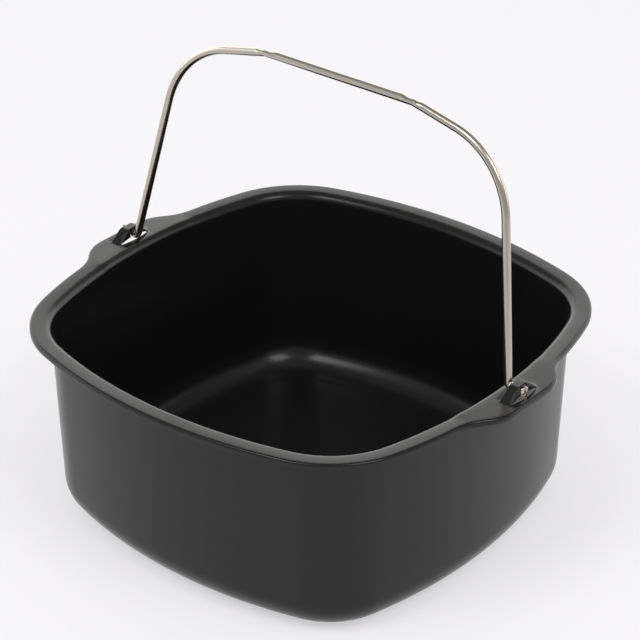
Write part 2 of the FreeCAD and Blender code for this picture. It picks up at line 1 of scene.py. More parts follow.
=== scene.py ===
# %% [markdown]
# # A pressed cake pan with a wire handle
#
# The pan is one black sheet of steel, drawn deep, with a rim, two ears and a turned-down edge.
# A strap in each ear is cut free on its two long sides and pushed up into a bridge.
# The handle is one bright wire whose ends turn under the bridges, so it swings like a bucket's.
# We load the fixed frame, press the sheet, bend the wire, and light them plainly.

# %% Load the frame
import math

import bmesh
import bpy
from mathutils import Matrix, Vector


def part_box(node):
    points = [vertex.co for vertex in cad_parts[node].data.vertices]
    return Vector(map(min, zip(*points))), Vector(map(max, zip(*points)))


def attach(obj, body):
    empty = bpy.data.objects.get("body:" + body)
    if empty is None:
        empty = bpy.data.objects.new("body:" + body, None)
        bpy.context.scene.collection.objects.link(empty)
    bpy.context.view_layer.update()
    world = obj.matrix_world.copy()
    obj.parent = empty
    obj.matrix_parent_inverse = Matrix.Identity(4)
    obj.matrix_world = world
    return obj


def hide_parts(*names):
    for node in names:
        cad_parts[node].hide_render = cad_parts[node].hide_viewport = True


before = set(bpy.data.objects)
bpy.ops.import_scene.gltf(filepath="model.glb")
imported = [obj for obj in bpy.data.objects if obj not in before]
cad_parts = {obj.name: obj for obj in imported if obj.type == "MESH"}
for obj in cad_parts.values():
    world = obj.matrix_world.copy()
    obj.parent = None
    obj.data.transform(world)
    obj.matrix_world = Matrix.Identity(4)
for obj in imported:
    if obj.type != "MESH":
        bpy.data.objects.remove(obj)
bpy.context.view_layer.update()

# %% [markdown]
# Every size below is a real one in millimetres, and one factor turns it into metres.
# The opening is a square with slow bulges for sides and rounded corners, so its outline is
# eight arcs that meet without a corner: a side arc, a corner arc, a side arc and so on.

# %% Sizes of the pan
MM = 0.001
GAUGE = 0.8                # thickness of the sheet
DEPTH = 89.8               # height of the rim
MOUTH_HALF = 95.6          # half the opening at the middle of a side
SIDE_RADIUS = 212.0        # the slow bulge of each side
CORNER_RADIUS = 37.4
WALL_LEAN = 2.6            # how much further in the wall stands at its foot
FOOT_RADIUS = 15.5
RIM_RADIUS = 3.4
RIM_REACH = 9.4            # rim width, out from the opening
EAR_REACH = 16.9
EAR_FLAT = 11.0            # half the straight front of an ear
EAR_ROUND = 20.0
EAR_HOLLOW = 24.0
LIP_RADIUS = 1.1
LIP_DEPTH = 2.4

SIDE_BACK = SIDE_RADIUS - MOUTH_HALF
REACH_IN = SIDE_RADIUS - CORNER_RADIUS
CORNER_AT = (math.sqrt(2 * REACH_IN ** 2 - SIDE_BACK ** 2) - SIDE_BACK) / 2
HALF_SIDE = math.atan2(CORNER_AT, CORNER_AT + SIDE_BACK)
HALF_CORNER = math.pi / 4 - HALF_SIDE
print("side arc %.1f deg, corner arc %.1f deg" % (math.degrees(2 * HALF_SIDE),
                                                  math.degrees(2 * HALF_CORNER)))

# %% [markdown]
# Blender's modelling operators act on whatever is selected. These helpers clear the selection,
# open one object for editing, and pick vertices by where they are.

# %% Helpers for editing by selection
def deselect():
    if bpy.context.mode != "OBJECT":
        bpy.ops.object.mode_set(mode="OBJECT")
    bpy.ops.object.select_all(action="DESELECT")


def open_mesh(piece, mode="VERT"):
    deselect()
    piece.select_set(True)
    bpy.context.view_layer.objects.active = piece
    bpy.ops.object.mode_set(mode="EDIT")
    bpy.ops.mesh.select_mode(type=mode)


def close_mesh():
    bpy.ops.object.mode_set(mode="OBJECT")


def pick(piece, test, kind="verts"):
    """Selects the vertices, edges or faces of the open mesh that pass the test."""
    mesh = bmesh.from_edit_mesh(piece.data)
    bpy.ops.mesh.select_all(action="DESELECT")
    found = 0
    for part in getattr(mesh, kind):
        if test(part):
            part.select_set(True)
            found += 1
    mesh.select_flush_mode()
    bmesh.update_edit_mesh(piece.data)
    return found


def picked(piece):
    """The open mesh, which has to be kept while its vertices are used, and what is selected."""
    mesh = bmesh.from_edit_mesh(piece.data)
    return mesh, [v for v in mesh.verts if v.select]


def spin(centre, angle, steps, axis=(0.0, 0.0, 1.0)):
    """Spins what is selected. Run with no window, the operator turns the other way round."""
    bpy.ops.mesh.spin(steps=steps, angle=-angle, center=[MM * c for c in centre], axis=axis)


def report(piece):
    low = [round(1000 * min(v.co[i] for v in piece.data.vertices), 2) for i in range(3)]
    high = [round(1000 * max(v.co[i] for v in piece.data.vertices), 2) for i in range(3)]
    print(piece.name, len(piece.data.polygons), "faces, mm", low, high)


# %% [markdown]
# ## Pressing the sheet: one section, spun round eight centres
#
# Cut through the wall once and the sheet shows the same line everywhere: floor, foot radius,
# leaning wall and the rounded edge at the top. A press makes it with one punch. Here a single
# point is extruded along that line, and the line is then spun round the centre of each side
# and each corner in turn. Spinning keeps the wall, foot and rim at one distance from the
# outline, which scaling a square would not.
# The line is the side of the sheet that touches the food; its thickness is added later.

# %% The section of the sheet
FOOT_STEPS = 14
WALL_STEPS = 5
RIM_STEPS = 10


def arc(centre, radius, start, end, steps):
    """Points on an arc, angles in degrees, without the first one."""
    out = []
    for i in range(1, steps + 1):
        a = math.radians(start + (end - start) * i / steps)
        out.append((centre[0] + radius * math.cos(a), centre[1] + radius * math.sin(a)))
    return out


def line(start, end, steps):
    return [tuple(a + (b - a) * i / steps for a, b in zip(start, end))
            for i in range(1, steps + 1)]


run = math.hypot(DEPTH, WALL_LEAN)
out_x, out_z = DEPTH / run, -WALL_LEAN / run
lean = math.degrees(math.atan2(out_z, out_x))
foot_at = ((GAUGE - FOOT_RADIUS - (FOOT_RADIUS - DEPTH) * out_z) / out_x, FOOT_RADIUS)
rim_at = ((RIM_RADIUS + RIM_RADIUS * out_z) / out_x, DEPTH - RIM_RADIUS)
foot_inner = FOOT_RADIUS - GAUGE

section = [(foot_at[0], GAUGE)]
section += arc(foot_at, foot_inner, -90, lean, FOOT_STEPS)
wall_top = (rim_at[0] - RIM_RADIUS * out_x, rim_at[1] - RIM_RADIUS * out_z)
section += line(section[-1], wall_top, WALL_STEPS)
section += arc(rim_at, RIM_RADIUS, 180 + lean, 90, RIM_STEPS)
print("section:", len(section), "points, opening at", round(rim_at[0], 2), "mm of rim")

# %% Draw the section and spin it round the pan
SIDE_STEPS = 96
CORNER_STEPS = 36


def turned(x, y, quarter):
    for _ in range(quarter % 4):
        x, y = -y, x
    return x, y


def placed(offset, height):
    """A section point at the low end of the side that faces +X, in metres."""
    reach = SIDE_RADIUS + offset
    return Vector((reach * math.cos(-HALF_SIDE) - SIDE_BACK, reach * math.sin(-HALF_SIDE),
                   height)) * MM


deselect()
bpy.ops.mesh.primitive_plane_add(size=MM, location=placed(*section[0]))
pan = bpy.context.object
pan.name = "pressed_pan"
bpy.ops.object.transform_apply(location=True)
open_mesh(pan)
bpy.ops.mesh.select_all(action="SELECT")
bpy.ops.mesh.merge(type="CENTER")
for before, after in zip(section, section[1:]):
    step = placed(*after) - placed(*before)
    bpy.ops.mesh.extrude_region_move(TRANSFORM_OT_translate={"value": step})
bpy.ops.mesh.select_all(action="SELECT")
for quarter in range(4):
    for centre, half, steps in (((-SIDE_BACK, 0.0), HALF_SIDE, SIDE_STEPS),
                                ((CORNER_AT, CORNER_AT), HALF_CORNER, CORNER_STEPS)):
        spin((*turned(*centre, quarter), 0.0), 2 * half, steps)
bpy.ops.mesh.select_all(action="SELECT")
bpy.ops.mesh.remove_doubles(threshold=0.00002)
close_mesh()
report(pan)

# %% [markdown]
# ## The floor
#
# The floor is flat, so one face closes it. It meets the foot radius without a crease.

# %% Close the floor
TINY = 0.01 * MM


def on_level(part, height):
    return abs(part.co.z - height * MM) < TINY


def is_loop_at(edge, height):
    return edge.is_boundary and all(on_level(v, height) for v in edge.verts)


open_mesh(pan, "EDGE")
count = pick(pan, lambda e: is_loop_at(e, GAUGE), "edges")
bpy.ops.mesh.edge_face_add()
close_mesh()
print("floor closed across", count, "edges")

# %% [markdown]
# ## The rim, the ears and the lip
#
# Outside the opening the sheet is laid flat, and in the middle of two sides it widens into an ear.
# An ear's outline is a straight front, a round corner and a hollow that runs back into the rim.
# The very edge is turned down into a lip, which stiffens the rim.
# Each new row is extruded from the last one and then placed on a line parallel to the outline,
# so the lip has the same width on the ears, in the hollows and round the corners.

# %% The outline with its ears
EAR_FRONT = MOUTH_HALF + EAR_REACH
round_at = (EAR_FRONT - EAR_ROUND, EAR_FLAT)
gap = math.hypot(round_at[0] + SIDE_BACK, round_at[1])
to_hollow = SIDE_RADIUS + RIM_REACH + EAR_HOLLOW
to_round = EAR_ROUND + EAR_HOLLOW
along = (gap ** 2 + to_hollow ** 2 - to_round ** 2) / (2 * gap)
across = math.sqrt(to_hollow ** 2 - along ** 2)
unit = ((round_at[0] + SIDE_BACK) / gap, round_at[1] / gap)
hollow_at = (-SIDE_BACK + unit[0] * along - unit[1] * across, unit[1] * along + unit[0] * across)
share = EAR_ROUND / to_round
seam = (round_at[0] + (hollow_at[0] - round_at[0]) * share,
        round_at[1] + (hollow_at[1] - round_at[1]) * share)


def angle_from_side(point):
    return math.atan2(point[1], point[0] + SIDE_BACK)


FLAT_ENDS = angle_from_side((EAR_FRONT, EAR_FLAT))
ROUND_ENDS = angle_from_side(seam)
HOLLOW_ENDS = angle_from_side(hollow_at)


def ray_to_circle(angle, centre, radius, far):
    """Where a ray from the side's centre crosses a circle, and the direction outwards there."""
    dx, dy = math.cos(angle), math.sin(angle)
    cx, cy = centre[0] + SIDE_BACK, centre[1]
    middle = cx * dx + cy * dy
    half = math.sqrt(radius ** 2 - (cx * dy - cy * dx) ** 2)
    reach = middle + half if far else middle - half
    x, y = reach * dx - SIDE_BACK, reach * dy
    flip = 1 if far else -1
    return (x, y), (flip * (x - centre[0]) / radius, flip * (y - centre[1]) / radius)


def ear_edge(angle):
    """Outline point and outward direction on a side with an ear."""
    size = abs(angle)
    if size <= FLAT_ENDS:
        point, out = (EAR_FRONT, (EAR_FRONT + SIDE_BACK) * math.tan(size)), (1.0, 0.0)
    elif size <= ROUND_ENDS:
        point, out = ray_to_circle(size, round_at, EAR_ROUND, True)
    elif size <= HOLLOW_ENDS:
        point, out = ray_to_circle(size, hollow_at, EAR_HOLLOW, False)
    else:
        reach = SIDE_RADIUS + RIM_REACH
        point = (reach * math.cos(size) - SIDE_BACK, reach * math.sin(size))
        out = (math.cos(size), math.sin(size))
    sign = 1 if angle >= 0 else -1
    return (point[0], sign * point[1]), (out[0], sign * out[1])


def rim_edge(x, y):
    """Outline point and outward direction for the column that holds a point of the rim."""
    for quarter in range(4):
        u, v = turned(x, y, 4 - quarter)
        angle = math.atan2(v, u + SIDE_BACK)
        if u > 0 and abs(angle) <= HALF_SIDE + 1e-6:
            if quarter % 2 == 0:
                point, out = ear_edge(angle)
            else:
                reach = SIDE_RADIUS + RIM_REACH
                point = (reach * math.cos(angle) - SIDE_BACK, reach * math.sin(angle))
                out = (math.cos(angle), math.sin(angle))
            return turned(*point, quarter), turned(*out, quarter)
    cx, cy = math.copysign(CORNER_AT, x), math.copysign(CORNER_AT, y)
    far = math.hypot(x - cx, y - cy)
    out = ((x - cx) / far, (y - cy) / far)
    reach = CORNER_RADIUS + RIM_REACH
    return (cx + out[0] * reach, cy + out[1] * reach), out


print("ear front %.1f mm, hollow from %.1f deg" % (EAR_FRONT, math.degrees(ROUND_ENDS)))

# %% Extrude the rim and turn its edge down
RIM_ROWS = 6
LIP_STEPS = 8


def extrude_ring(piece, place):
    """One more row round the pan: place gives each vertex its new position, in mm."""
    bpy.ops.mesh.extrude_region_move(TRANSFORM_OT_translate={"value": (0.0, 0.0, 0.0)})
    mesh, ring = picked(piece)
    for v in ring:
        x, y, z = place(v.co.x / MM, v.co.y / MM)
        v.co = Vector((x, y, z)) * MM
    bmesh.update_edit_mesh(piece.data)


def on_edge(x, y, inset):
    point, out = rim_edge(x, y)
    return point[0] - out[0] * inset, point[1] - out[1] * inset


open_mesh(pan, "EDGE")
pick(pan, lambda e: is_loop_at(e, DEPTH), "edges")
for row in range(1, RIM_ROWS + 1):
    def flat_row(x, y, left=RIM_ROWS - row + 1):
        to_x, to_y = on_edge(x, y, LIP_RADIUS)
        return x + (to_x - x) / left, y + (to_y - y) / left, DEPTH
    extrude_ring(pan, flat_row)
lip = arc((0.0, DEPTH - LIP_RADIUS), LIP_RADIUS, 90, 0, LIP_STEPS)
for out, height in lip + [(LIP_RADIUS, DEPTH - LIP_DEPTH)]:
    def lip_row(x, y, inset=LIP_RADIUS - out, z=height):
        return (*on_edge(x, y, inset), z)
    extrude_ring(pan, lip_row)
close_mesh()
report(pan)

# %% [markdown]
# ## A bridge in each ear
#
# The strap is still part of the sheet. Two cuts free its long sides, and a small punch pushes
# it up until a wire fits beneath. The punch drags the long edges down again into short skirts,
# and a mouth in each skirt lets the wire through. Its feet run back down into the ear.
# So a piece of the flat ear is opened, a fine grid is set in for the strap, the plate is
# filled round it, and then the grid is pushed up by one formula and its mouths are cut.

# %% Shape of the strap
STRAP_IN, STRAP_OUT = 102.5, 108.4      # long edges of the strap, out from the centre
FLAT_IN, FLAT_OUT = 103.7, 107.2        # between these its top is level, beyond are skirts
SKIRT_LEFT = 1.1                        # how far above the ear the skirts end
MOUTH = 2.5                             # half the width of each mouth
MOUTH_TOP = 0.3                         # skirt left between a mouth and the level top
CUT_IN, CUT_OUT = 1.1, 1.3              # width of each cut at its middle
CUT_HALF = 9.0                          # half the length of the cuts
STRAP_HALF = 10.6                       # half the length that is pushed up
TOP_HALF = 2.4                          # half its flat top
RISE = 4.8
SHOULDER, TOE = 3.0, 3.4                # bends above and below each ramp
CELL = 0.2                              # grid cell along the strap
CELL_ACROSS = 0.2


def smooth(t):
    t = min(max(t, 0.0), 1.0)
    return t * t * (3.0 - 2.0 * t)


def arch(y):
    """Height of the strap's middle line at a distance y from the hinge line."""
    y = abs(y)
    if y <= TOP_HALF:
        return RISE
    if y >= STRAP_HALF:
        return 0.0
    run_y, run_z = STRAP_HALF - TOP_HALF, TOE + SHOULDER - RISE
    tilt = math.atan2(run_z, run_y) + math.acos((SHOULDER + TOE) / math.hypot(run_y, run_z))
    top_y = TOP_HALF + SHOULDER * math.cos(tilt)
    low_y = STRAP_HALF - TOE * math.cos(tilt)
    if y <= top_y:
        return RISE - SHOULDER + math.sqrt(SHOULDER ** 2 - (y - TOP_HALF) ** 2)
    if y >= low_y:
        return TOE - math.sqrt(TOE ** 2 - (STRAP_HALF - y) ** 2)
    top_z = RISE - SHOULDER + SHOULDER * math.sin(tilt)
    low_z = TOE - TOE * math.sin(tilt)
    return top_z + (low_z - top_z) * (y - top_y) / (low_y - top_y)


EDGE_FALLS = 7.6                        # from here on the long edges run down to the plate
FOOT_BLEND = 2.0                        # width of the blend beside the very end of a foot


def skirt(x):
    """Share of the height that is left at a distance x from the centre."""
    past = (FLAT_IN - x) / (FLAT_IN - STRAP_IN) if x < FLAT_IN else \
        (x - FLAT_OUT) / (STRAP_OUT - FLAT_OUT)
    past = min(max(past, 0.0), 1.0)
    return 1.0 - (1.0 - SKIRT_LEFT / RISE) * (1.0 - math.sqrt(1.0 - past ** 2.2))


def lift(x, y):
    """Height of the pushed-up sheet at a point of the ear."""
    height = arch(y) * skirt(x)
    from_edge = min(x - STRAP_IN, STRAP_OUT - x)
    past = abs(y) - EDGE_FALLS
    if past <= 0:
        return height
    at_edge = 1 - smooth(past / (CUT_HALF - EDGE_FALLS))
    width = FOOT_BLEND * past / (STRAP_HALF - EDGE_FALLS)
    return height * (at_edge + (1 - at_edge) * smooth(from_edge / width))


def cut_width(y, middle):
    return middle * max(0.0, 1.0 - (y / CUT_HALF) ** 2)


print("ramp at y = 6 mm stands", round(arch(6.0), 2), "mm up")

# %% Set the strap into the ear and push it up
EAR_PATCH = 13.0                        # half the length of ear that is opened for the grid
PATCH_FROM = MOUTH_HALF + RIM_RADIUS + 0.2   # just outside the rounded edge of the rim
STRAP_MIDDLE = (STRAP_IN + STRAP_OUT) / 2
STRAP_WIDE = STRAP_OUT - STRAP_IN


def in_patch(face, side):
    centre = face.calc_center_median() / MM
    return (abs(centre.z - DEPTH) < 0.01 and face.normal.z ** 2 > 0.99
            and PATCH_FROM < side * centre.x < EAR_FRONT - LIP_RADIUS
            and abs(centre.y) < EAR_PATCH)


def add_strap(piece, side):
    open_mesh(piece, "FACE")
    pick(piece, lambda f: in_patch(f, side), "faces")
    bpy.ops.mesh.delete(type="FACE")
    bpy.ops.mesh.select_mode(type="VERT")
    bpy.ops.mesh.select_all(action="DESELECT")
    middle = Vector((side * STRAP_MIDDLE, 0.0, DEPTH)) * MM
    bpy.ops.mesh.primitive_grid_add(x_subdivisions=round(STRAP_WIDE / CELL_ACROSS),
                                    y_subdivisions=round(2 * STRAP_HALF / CELL), size=MM,
                                    location=middle)
    bpy.ops.transform.resize(value=(STRAP_WIDE, 2 * STRAP_HALF, 1.0), center_override=middle)
    mesh, new = picked(piece)
    grid = {v.index for v in new}
    for sign, edge_x, depth in ((-1, STRAP_IN, CUT_IN), (1, STRAP_OUT, CUT_OUT)):
        pick(piece, lambda v: v.index in grid and abs(side * v.co.x - edge_x * MM) < TINY)
        bpy.ops.mesh.duplicate()
        mesh, copies = picked(piece)
        for v in copies:
            v.co.x += side * sign * cut_width(v.co.y / MM, depth) * MM
        bmesh.update_edit_mesh(piece.data)

    bpy.ops.mesh.select_all(action="SELECT")
    bpy.ops.mesh.remove_doubles(threshold=TINY)
    bpy.ops.mesh.select_mode(type="EDGE")

    def round_the_strap(edge):
        near = all(on_level(v, DEPTH) and side * v.co.x > MOUTH_HALF * MM
                   and abs(v.co.y) < (EAR_PATCH + 2.0) * MM for v in edge.verts)
        if not near or len(edge.link_faces) == 2:
            return False
        middle = sum((v.co for v in edge.verts), Vector()) / 2 / MM
        at_side = any(abs(side * middle.x - e) < 0.02 for e in (STRAP_IN, STRAP_OUT))
        return not (at_side and abs(middle.y) < CUT_HALF and len(edge.link_faces) == 1)

    count = pick(piece, round_the_strap, "edges")
    bpy.ops.mesh.fill(use_beauty=True)

    mesh = bmesh.from_edit_mesh(piece.data)
    for v in mesh.verts:
        x, y = side * v.co.x / MM, v.co.y / MM
        if on_level(v, DEPTH) and STRAP_IN - 0.01 < x < STRAP_OUT + 0.01 and abs(y) < STRAP_HALF:
            v.co.z += lift(x, y) * MM
    bmesh.update_edit_mesh(piece.data)

    def in_mouth(face):
        centre = face.calc_center_median() / MM
        x = side * centre.x
        return (abs(centre.y) < MOUTH and centre.z > DEPTH + 0.1
                and (STRAP_IN < x < FLAT_IN - MOUTH_TOP or FLAT_OUT + MOUTH_TOP < x < STRAP_OUT))

    bpy.ops.mesh.select_mode(type="FACE")
    pick(piece, in_mouth, "faces")
    bpy.ops.mesh.delete(type="FACE")
    close_mesh()
    print("ear", side, "plate filled inside", count, "edges")


for side in (1, -1):
    add_strap(pan, side)
report(pan)

# %% [markdown]
# ## A rim that is not quite flat
#
# A pressed rim springs back a little when it leaves the tool, so it sinks slightly towards the
# opening. That is under a millimetre, yet gloss shows it: each part of the rim mirrors another
# part of the room. Every vertex near the top is lowered by how far in from the outline it
# stands. The ears stay level, and the change runs out down the wall, where it can't be seen.

# %% Let the rim sink towards the opening
SINK = 0.5                 # at the opening
SINK_RUNS_OUT = 14.0       # height of wall in which it ends
EAR_BLEND = 2.0            # an ear that stands out this far is level


def stands_out(x, y):
    """How far the outline at a point stands out past the plain rim, because of an ear."""
    if abs(x) < abs(y):
        return 0.0
    return max(0.0, math.hypot(abs(x) + SIDE_BACK, y) - SIDE_RADIUS - RIM_REACH)


open_mesh(pan)
mesh = bmesh.from_edit_mesh(pan.data)
for v in mesh.verts:
    x, y, z = v.co / MM
    if z < DEPTH - SINK_RUNS_OUT:
        continue
    point, out = rim_edge(x, y)
    inset = (point[0] - x) * out[0] + (point[1] - y) * out[1]
    inwards = min(max(inset, 0.0) / RIM_REACH, 1.0)
    upwards = min(1.0, 1.0 - (DEPTH - z) / SINK_RUNS_OUT)
    plain = 1.0 - smooth(stands_out(*point) / EAR_BLEND)
    v.co.z -= SINK * inwards ** 2 * upwards * plain * MM
bmesh.update_edit_mesh(pan.data)
close_mesh()
report(pan)

# %% [markdown]
# ## Thickness and edges
#
# Solidify gives the sheet its gauge on the far side of the surface we drew. A very small bevel
# then breaks the raw edges of the cuts, as a coat of enamel does by pooling away from corners.

# %% Give the sheet its gauge
BROKEN_EDGE = 0.16
BROKEN_FROM = 50.0         # degrees between two faces whose edge is broken
PAN_CREASE = 38.0          # degrees from which an edge shows as a crease

open_mesh(pan, "FACE")
bpy.ops.mesh.select_all(action="SELECT")
bpy.ops.mesh.normals_make_consistent(inside=False)
floor_up = pick(pan, lambda f: on_level(f.verts[0], GAUGE) and f.normal.z > 0.99, "faces")
if not floor_up:
    bpy.ops.mesh.select_all(action="SELECT")
    bpy.ops.mesh.flip_normals()
close_mesh()

sheet = pan.modifiers.new("gauge", "SOLIDIFY")
sheet.thickness = GAUGE * MM
sheet.offset = -1.0
sheet.use_even_offset = True
sheet.use_quality_normals = True
broken = pan.modifiers.new("broken edges", "BEVEL")
broken.width = BROKEN_EDGE * MM
broken.segments = 2
broken.limit_method = "ANGLE"
broken.angle_limit = math.radians(BROKEN_FROM)
deselect()
pan.select_set(True)
bpy.context.view_layer.objects.active = pan
for name in [m.name for m in pan.modifiers]:
    bpy.ops.object.modifier_apply(modifier=name)
bpy.ops.object.shade_smooth_by_angle(angle=math.radians(PAN_CREASE))
report(pan)

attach(pan, "pan")
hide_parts("pan_body")

# %% [markdown]
# ## Bending the wire
#
# The real handle is bent from one straight wire in a few tools: a tight bend at each foot, a
# wide one at each shoulder and a slight kink at each end of the top. We do the same to a
# ring: extrude it along a straight run, spin it round a bend, and go on. Only half the handle
# is bent, and a mirror gives the other half.

# %% Bend half the handle
WIRE = 3.5
WIRE_PLAY = 0.25           # gap between the wire and the rim under it
HINGE_HEIGHT = DEPTH + WIRE / 2 + WIRE_PLAY
TIP_AT = 109.4             # outer end of the wire
TIP_START = 108.7          # where it is fully flattened
TIP_ROUND = 107.9          # where it is still round
BAIL_FOOT = 102.4
FOOT_BEND = 2.2
LEG_LEAN = 10.2
SHOULDER_BEND = 37.0
SLOPE = 12.2
KINK_BEND = 5.0
KINK_HALF = 37.8
KINK_RUN = 7.0             # length before a kink that gets closer rings
BAIL_HEIGHT = 100.7
TILT = 9.4
ROUND_STEPS = 40

leg_lean, slope = math.radians(LEG_LEAN), math.radians(SLOPE)
leg_low = Vector((BAIL_FOOT - FOOT_BEND * math.cos(leg_lean),
                  FOOT_BEND - FOOT_BEND * math.sin(leg_lean)))
slope_high = Vector((KINK_HALF + KINK_BEND * math.sin(slope),
                     BAIL_HEIGHT - KINK_BEND + KINK_BEND * math.cos(slope)))
leg_way = Vector((-math.sin(leg_lean), math.cos(leg_lean)))
slope_way = Vector((-math.cos(slope), math.sin(slope)))
step_x, step_z = slope_high - leg_low
turn = leg_way.x * slope_way.y - leg_way.y * slope_way.x
leg_run = (step_x * slope_way.y - step_z * slope_way.x) / turn
corner = leg_low + leg_way * leg_run
trim = SHOULDER_BEND * math.tan((math.pi / 2 - leg_lean - slope) / 2)
leg_high = corner - leg_way * trim
slope_low = corner + slope_way * trim
shoulder_at = leg_high - Vector((math.cos(leg_lean), math.sin(leg_lean))) * SHOULDER_BEND
kink_near = slope_high - slope_way * KINK_RUN
print("leg run %.1f mm, slope run %.1f mm" % ((leg_high - leg_low).length,
                                            (slope_high - slope_low).length))


def run_to(start, end, pieces=1):
    """Extrudes the open ring in a straight line through the handle's own plane."""
    step = (end - start) / pieces
    for _ in range(pieces):
        bpy.ops.mesh.extrude_region_move(
            TRANSFORM_OT_translate={"value": (step.x * MM, 0.0, step.y * MM)})


def bend(centre, angle, steps):
    """Bends the wire in the handle's own plane: a positive angle turns it to its right."""
    spin((centre[0], 0.0, centre[1]), angle, steps, axis=(0.0, 1.0, 0.0))


def squash_ring(height, width):
    """Flattens the open ring: height in the handle's plane, width across it."""
    mesh, ring = picked(bail)
    centre = sum((v.co for v in ring), Vector()) / len(ring)
    bpy.ops.transform.resize(value=(1.0, width, height), center_override=centre)


deselect()
bpy.ops.mesh.primitive_circle_add(vertices=ROUND_STEPS, radius=WIRE / 2 * MM,
                                  rotation=(0.0, math.pi / 2, 0.0),
                                  location=(TIP_ROUND * MM, 0.0, 0.0))
bail = bpy.context.object
bail.name = "wire_bail"
bpy.ops.object.transform_apply(location=True, rotation=True)
open_mesh(bail)
bpy.ops.mesh.select_all(action="SELECT")
run_to(Vector((TIP_ROUND, 0.0)), Vector((BAIL_FOOT, 0.0)), 4)
bend((BAIL_FOOT, FOOT_BEND), math.pi / 2 - leg_lean, 14)
run_to(leg_low, leg_high, 12)
bend(shoulder_at, -(math.pi / 2 - leg_lean - slope), 40)
run_to(slope_low, kink_near, 10)
run_to(kink_near, slope_high, 8)
bend((KINK_HALF, BAIL_HEIGHT - KINK_BEND), -slope, 6)
run_to(Vector((KINK_HALF, BAIL_HEIGHT)), Vector((0.0, BAIL_HEIGHT)), 30)
close_mesh()
report(bail)

# %% [markdown]
# The end of the wire is squeezed flat once it is through the bridge, so that it can't slip out
# again. A chisel does it, so the end is thinnest in the middle and stands in two lobes. The tool
# that makes the kink leaves a slightly flattened length there, with sharp ends.

# %% Flatten the end and the kinks
TIP_HEIGHT, TIP_THICK = 4.8, 2.3
TIP_CHAMFER = 0.25
WAIST, LOBES = 0.55, 1.30  # thickness of the end in its middle and at its sides, as shares
KINK_MARK = 5.0            # half the flattened length at a kink
KINK_WIDER, KINK_FLATTER = 0.10, 0.30
KINK_CRISP = 3.0           # how fast the mark begins at its ends

open_mesh(bail)
pick(bail, lambda v: v.co.x > (TIP_ROUND - 0.01) * MM)
for reach, height, width in ((TIP_START - TIP_ROUND, TIP_HEIGHT / WIRE, TIP_THICK / WIRE),
                             (TIP_AT - TIP_START - TIP_CHAMFER, 1.0, 1.0),
                             (TIP_CHAMFER, 0.9, 0.8)):
    bpy.ops.mesh.extrude_region_move(TRANSFORM_OT_translate={"value": (reach * MM, 0.0, 0.0)})
    squash_ring(height, width)
bpy.ops.mesh.edge_face_add()
mesh = bmesh.from_edit_mesh(bail.data)
for v in mesh.verts:
    if v.co.x > (TIP_START - 0.01) * MM:
        wide = min(1.0, abs(v.co.z) / (TIP_HEIGHT / 2 * MM))
        v.co.y *= WAIST + (LOBES - WAIST) * wide ** 2
kink_centre = Vector((KINK_HALF, BAIL_HEIGHT))
for v in mesh.verts:
    away = (Vector((v.co.x, v.co.z)) / MM - kink_centre).length
    if v.co.x < BAIL_FOOT * MM and away < KINK_MARK:
        mark = smooth(KINK_CRISP * (1.0 - away / KINK_MARK))
        v.co.y *= 1.0 + KINK_WIDER * mark
        v.co.z -= max(0.0, v.co.z - BAIL_HEIGHT * MM) * KINK_FLATTER * mark
bmesh.update_edit_mesh(bail.data)
close_mesh()
report(bail)

# %% Mirror and close
half = bail.modifiers.new("other half", "MIRROR")
half.use_axis = (True, False, False)
half.use_clip = True
half.merge_threshold = TINY
deselect()
bail.select_set(True)
bpy.context.view_layer.objects.active = bail
bpy.ops.object.modifier_apply(modifier=half.name)
open_mesh(bail, "FACE")
bpy.ops.mesh.select_all(action="SELECT")
bpy.ops.mesh.remove_doubles(threshold=TINY)
bpy.ops.mesh.normals_make_consistent(inside=False)
close_mesh()

# %% [markdown]
# The wire's finish has lines along its length, and the wire turns every way. So each vertex
# keeps a place of its own: the first two numbers say where it is round the wire, from its
# normal, and the third how far along, from its angle about the middle of the handle. The
# handle still stands upright here, which makes both easy to work out.

# %% Mark each vertex's place on the wire
along = bail.data.attributes.new("along_wire", "FLOAT_VECTOR", "POINT")
loop_middle = Vector((0.0, 0.0, BAIL_HEIGHT / 2)) * MM
for v in bail.data.vertices:
    way = v.co - loop_middle
    deep = math.sqrt(max(0.0, 1.0 - v.normal.y ** 2))
    if v.normal.x * way.x + v.normal.z * way.z <= 0:
        deep = -deep
    length = math.atan2(way.z, way.x) * BAIL_HEIGHT
    along.data[v.index].vector = Vector((v.normal.y * WIRE / 2, deep * WIRE / 2, length)) * MM
print("marked", len(along.data), "vertices")

# %% Stand it on the rim
WIRE_CREASE = 40.0

deselect()
bail.select_set(True)
bpy.context.view_layer.objects.active = bail
bail.rotation_euler.x = -math.radians(TILT)
bail.location.z = HINGE_HEIGHT * MM
bpy.ops.object.transform_apply(location=True, rotation=True)
bpy.ops.object.shade_smooth_by_angle(angle=math.radians(WIRE_CREASE))
report(bail)
bail_low, bail_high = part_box("bail_handle")
print("frame's handle, mm", [round(1000 * v, 2) for v in (*bail_low, *bail_high)])

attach(bail, "bail")
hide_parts("bail_handle")

# %% [markdown]
# ## Two finishes
#
# The coat is a black non-stick lacquer: nearly no colour of its own, and a soft gloss that
# grows towards the edge of sight. Its grey comes from what it mirrors. Fine noise in the
# roughness and a shallow bump give it the sprayed grain. The wire is plated and bright, with
# faint lines along its length from being drawn through a die.

# %% Node helpers
def new_material(name):
    material = bpy.data.materials.new(name)
    material.use_nodes = True
    tree = material.node_tree
    return material, tree, tree.nodes["Principled BSDF"]


def add_node(tree, kind, **values):
    node = tree.nodes.new(kind)
    for key, value in values.items():
        if hasattr(node, key):
            setattr(node, key, value)
        else:
            node.inputs[key].default_value = value
    return node


